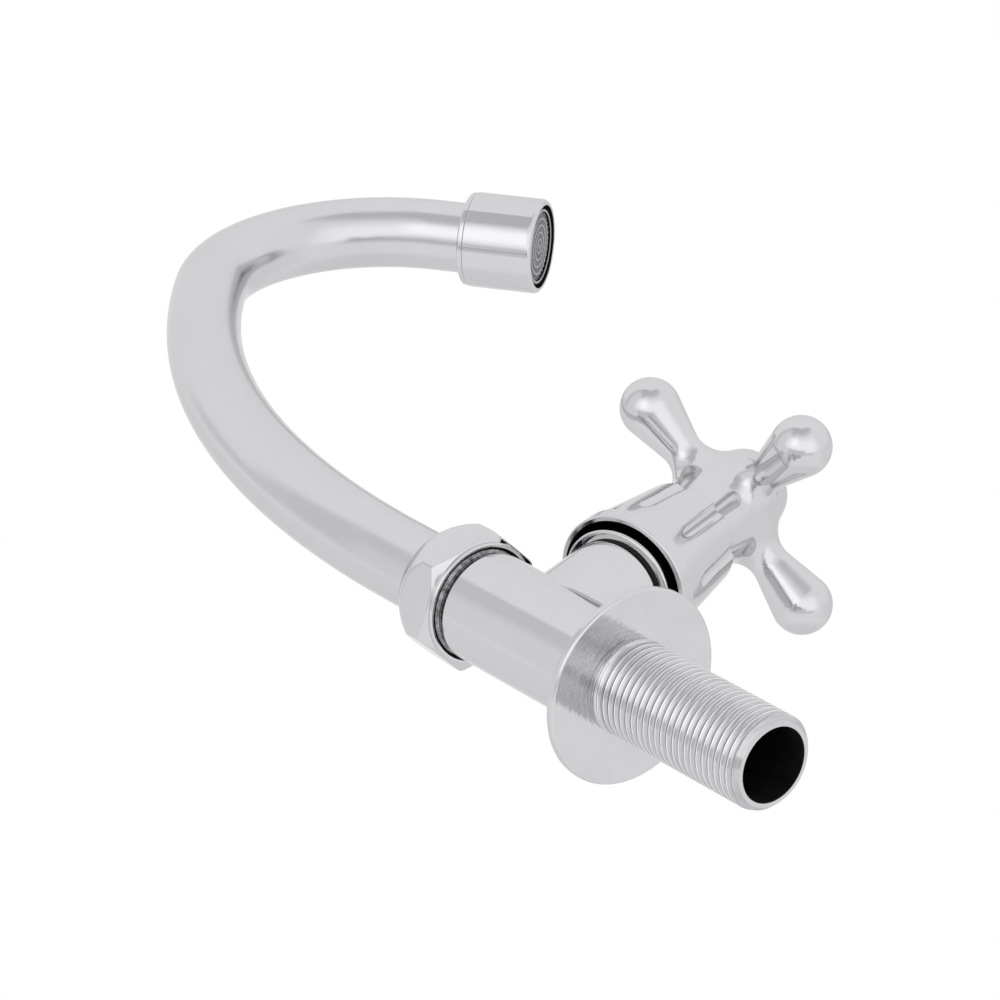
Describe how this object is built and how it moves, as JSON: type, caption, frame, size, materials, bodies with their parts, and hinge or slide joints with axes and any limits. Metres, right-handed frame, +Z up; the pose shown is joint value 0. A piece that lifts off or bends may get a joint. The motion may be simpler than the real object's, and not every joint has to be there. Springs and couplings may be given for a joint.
{
  "type": "kitchen sink tap",
  "caption": "Deck-mounted kitchen sink tap: threaded shank, inclined valve with cross handle, domed union nut and a swivelling swan-neck spout with aerator.",
  "frame": {"origin": "the barrel's axis at the underside of the deck flange", "axes": "+Z up along the barrel, -Y the way the valve branch and the spout point, +X to the right of someone who faces +Y"},
  "size_m": [0.0534, 0.1785, 0.3081],
  "materials": {
    "chrome": "bright chrome plate on brass",
    "brass": "plain turned brass",
    "steel": "plain stainless steel",
    "rubber": "matt black nitrile rubber",
    "white_plastic": "slippery white plastic",
    "grey_plastic": "matt grey plastic",
    "blue_plastic": "gloss blue plastic"
  },
  "bodies": {
    "tap": {"tap_body": "chrome", "spout_nut": "chrome", "bonnet": "chrome", "bonnet_seal": "rubber"},
    "handle": {"handle": "chrome", "handle_screw": "steel", "index_cap": "chrome", "index_disc": "blue_plastic", "spindle": "brass", "spindle_o_rings": "rubber", "thrust_washer": "white_plastic", "spindle_circlip": "steel"},
    "jumper": {"jumper": "brass", "jumper_washer": "rubber", "jumper_screw": "steel"},
    "spout": {"spout_tube": "chrome", "spout_spigot": "brass", "spout_o_rings": "rubber", "slip_washer": "white_plastic", "outlet_bush": "chrome", "aerator_housing": "chrome", "aerator_seal": "rubber", "aerator_screen": "steel", "aerator_core": "grey_plastic", "aerator_grid": "grey_plastic"}
  },
  "joints": [
    {"name": "spout_swivel", "type": "hinge", "parent": "tap", "child": "spout", "pos_m": [0, 0, 0.06075], "axis": [0, 0, 1], "continuous": true},
    {"name": "handle_turn", "type": "hinge", "parent": "tap", "child": "handle", "pos_m": [0, 0, 0.02865], "axis": [0, -0.9558, 0.294], "range_deg": [0, 900]},
    {"name": "jumper_lift", "type": "slide", "parent": "tap", "child": "jumper", "axis": [0, -0.9558, 0.294], "range_m": [0, 0.0045]}
  ],
  "couplings": [
    {"joint": "jumper_lift", "follows": "handle_turn", "m_per_rad": 0.00028648}
  ]
}
